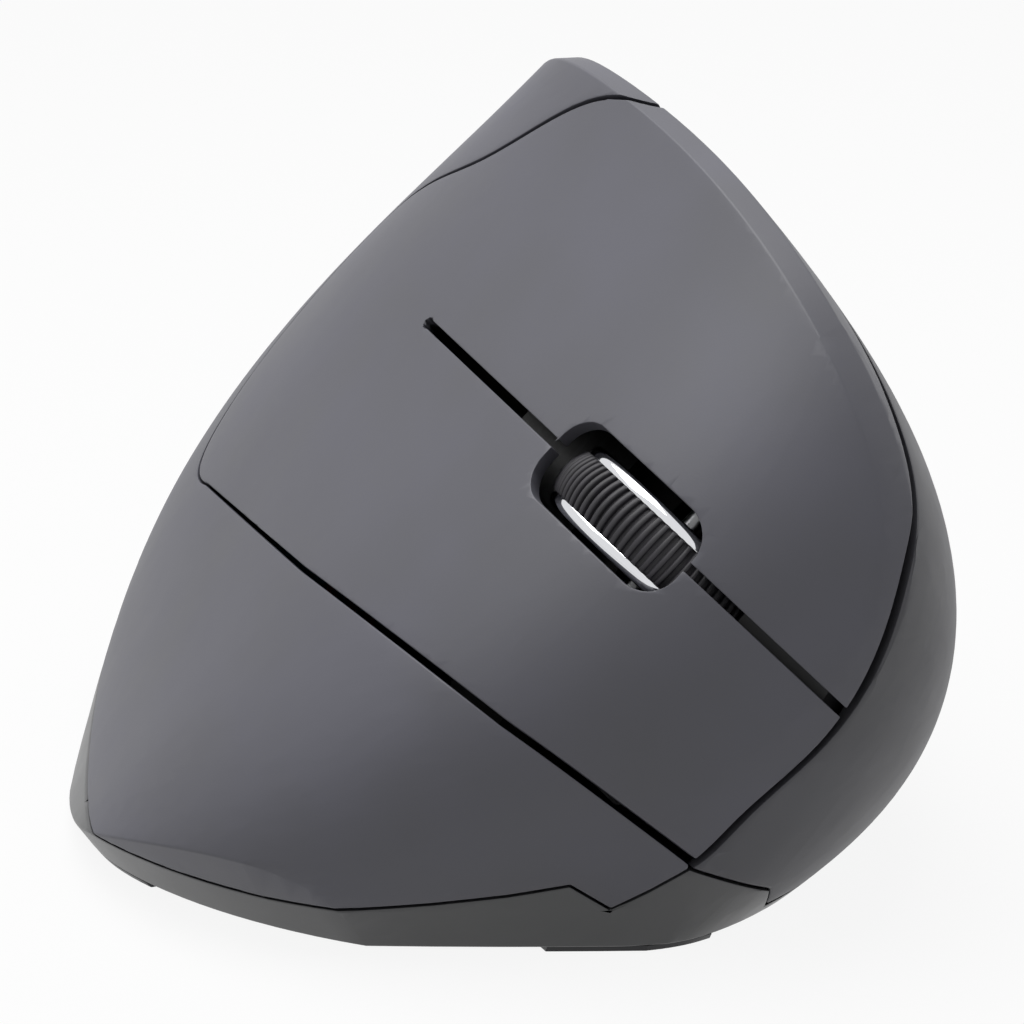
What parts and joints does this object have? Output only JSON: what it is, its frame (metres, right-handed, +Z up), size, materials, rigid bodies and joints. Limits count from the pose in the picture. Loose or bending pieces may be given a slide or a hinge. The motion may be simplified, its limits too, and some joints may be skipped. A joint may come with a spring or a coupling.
{
  "type": "ergonomic vertical mouse",
  "caption": "Upright right-hand wireless mouse: sloping finger face with flexing keys, a ribbed wheel between chrome rims, thumb keys and a battery bay.",
  "frame": {"origin": "on the surface it stands on, under the centre of the bounding box", "axes": "+Z up, -Y towards the nose, +Y towards the wrist, +X towards the thumb side, -X towards the finger side"},
  "size_m": [0.0854, 0.1129, 0.07],
  "materials": {
    "shell_grey": "soft touch, matte",
    "thumb_grey": "soft touch, matte",
    "base_grey": "moulded, matte",
    "button_grey": "moulded, satin",
    "rim_chrome": "bright plated",
    "tread_rubber": "ribbed rubber",
    "inner_plastic": "moulded, matte",
    "switch_plastic": "moulded",
    "plunger_plastic": "moulded",
    "board_black": "black solder mask",
    "chip_black": "moulded",
    "spring_steel": "drawn",
    "lens_clear": "clear moulded",
    "foot_slick": "smooth low friction",
    "wire_jacket": "smooth",
    "cell_can": "wrapped can",
    "receiver_black": "moulded",
    "plug_steel": "formed sheet"
  },
  "bodies": {
    "casing": {"bottom_shell": "base_grey", "palm_shell": "shell_grey", "thumb_shell": "thumb_grey", "button_cover": "shell_grey", "front_foot": "foot_slick", "rear_foot": "foot_slick", "side_feet": "foot_slick", "inner_frame": "inner_plastic", "button_board": "board_black", "side_board": "board_black", "base_board": "board_black", "left_switch": "switch_plastic", "right_switch": "switch_plastic", "wheel_switch": "switch_plastic", "forward_switch": "switch_plastic", "back_switch": "switch_plastic", "pair_switch": "switch_plastic", "slide_switch": "switch_plastic", "encoder_housing": "switch_plastic", "wheel_bracket": "inner_plastic", "battery_cell": "cell_can", "battery_spring": "spring_steel", "battery_contacts": "spring_steel", "sensor_lens": "lens_clear", "sensor_chip": "chip_black", "board_chips": "chip_black", "case_screws": "spring_steel", "key_board_screws": "spring_steel", "base_board_screws": "spring_steel", "key_wires": "wire_jacket", "side_wires": "wire_jacket", "cell_wires": "wire_jacket"},
    "left_key": {"left_button": "shell_grey"},
    "right_key": {"right_button": "shell_grey"},
    "left_key_plunger": {"left_plunger": "plunger_plastic"},
    "right_key_plunger": {"right_plunger": "plunger_plastic"},
    "axle_rest": {"axle_cradle": "inner_plastic"},
    "wheel": {"wheel_tread": "tread_rubber", "left_rim": "rim_chrome", "right_rim": "rim_chrome", "wheel_hub": "inner_plastic", "wheel_axle": "spring_steel", "encoder_rotor": "plunger_plastic"},
    "wheel_click_plunger": {"wheel_plunger": "plunger_plastic"},
    "forward_key": {"forward_button": "button_grey"},
    "back_key": {"back_button": "button_grey"},
    "forward_key_plunger": {"forward_plunger": "plunger_plastic"},
    "back_key_plunger": {"back_plunger": "plunger_plastic"},
    "pairing_key": {"pair_button": "inner_plastic"},
    "pairing_key_plunger": {"pair_plunger": "plunger_plastic"},
    "power_slider": {"power_switch": "inner_plastic"},
    "battery_cover": {"battery_door": "base_grey"},
    "receiver": {"receiver_cap": "receiver_black", "receiver_plug": "plug_steel"}
  },
  "joints": [
    {"name": "left_key_press", "type": "hinge", "parent": "casing", "child": "left_key", "pos_m": [0.00747, -0.00109, 0.05641], "axis": [0.7178, -0.0771, 0.692], "range_deg": [0, 0.7], "stiffness_Nm_per_rad": 1, "springref_deg": -0.69},
    {"name": "left_plunger_travel", "type": "slide", "parent": "casing", "child": "left_key_plunger", "axis": [0.6583, 0.399, -0.6383], "range_m": [0, 0.00047]},
    {"name": "right_key_press", "type": "hinge", "parent": "casing", "child": "right_key", "pos_m": [-0.01435, 0.00126, 0.03537], "axis": [0.7178, -0.0771, 0.692], "range_deg": [0, 0.7], "stiffness_Nm_per_rad": 1, "springref_deg": -0.69},
    {"name": "right_plunger_travel", "type": "slide", "parent": "casing", "child": "right_key_plunger", "axis": [0.6583, 0.399, -0.6383], "range_m": [0, 0.00047]},
    {"name": "wheel_click", "type": "hinge", "parent": "casing", "child": "axle_rest", "pos_m": [-0.00319, -0.03732, 0.02997], "axis": [-0.2268, 0.9137, 0.3371], "range_deg": [0, 1.2], "stiffness_Nm_per_rad": 0.3, "springref_deg": -1.15},
    {"name": "wheel_spin", "type": "hinge", "parent": "axle_rest", "child": "wheel", "pos_m": [0.00265, -0.03795, 0.03561], "axis": [0.7178, -0.0771, 0.692], "continuous": true},
    {"name": "wheel_plunger_travel", "type": "slide", "parent": "casing", "child": "wheel_click_plunger", "axis": [0.6583, 0.399, -0.6383], "range_m": [0, 0.00027]},
    {"name": "forward_key_press", "type": "slide", "parent": "casing", "child": "forward_key", "axis": [-0.7814, 0.0601, -0.6211], "range_m": [0, 0.0005], "stiffness_N_per_m": 600, "springref_m": -0.0005},
    {"name": "forward_plunger_travel", "type": "slide", "parent": "casing", "child": "forward_key_plunger", "axis": [-0.7814, 0.0601, -0.6211], "range_m": [0, 0.00036]},
    {"name": "back_key_press", "type": "slide", "parent": "casing", "child": "back_key", "axis": [-0.7814, 0.0601, -0.6211], "range_m": [0, 0.0005], "stiffness_N_per_m": 600, "springref_m": -0.0005},
    {"name": "back_plunger_travel", "type": "slide", "parent": "casing", "child": "back_key_plunger", "axis": [-0.7814, 0.0601, -0.6211], "range_m": [0, 0.00036]},
    {"name": "pairing_key_press", "type": "slide", "parent": "casing", "child": "pairing_key", "axis": [0, 0, 1], "range_m": [0, 0.0004], "stiffness_N_per_m": 600, "springref_m": -0.0005},
    {"name": "pairing_plunger_travel", "type": "slide", "parent": "casing", "child": "pairing_key_plunger", "axis": [0, 0, 1], "range_m": [0, 0.00029]},
    {"name": "power_slide", "type": "slide", "parent": "casing", "child": "power_slider", "axis": [0, 1, 0], "range_m": [0, 0.003]},
    {"name": "battery_door_swing", "type": "hinge", "parent": "casing", "child": "battery_cover", "pos_m": [-0.0195, 0.022, 0.0006], "axis": [0, 1, 0], "range_deg": [0, 60]},
    {"name": "receiver_pull", "type": "slide", "parent": "casing", "child": "receiver", "axis": [0, 0, -1], "range_m": [0, 0.019]}
  ],
  "couplings": [
    {"joint": "left_plunger_travel", "follows": "left_key_press", "m_per_rad": 0.036833},
    {"joint": "right_plunger_travel", "follows": "right_key_press", "m_per_rad": 0.036833},
    {"joint": "wheel_plunger_travel", "follows": "wheel_click", "m_per_rad": 0.011937},
    {"joint": "forward_plunger_travel", "follows": "forward_key_press", "ratio": 0.7},
    {"joint": "back_plunger_travel", "follows": "back_key_press", "ratio": 0.7},
    {"joint": "pairing_plunger_travel", "follows": "pairing_key_press", "ratio": 0.7}
  ]
}
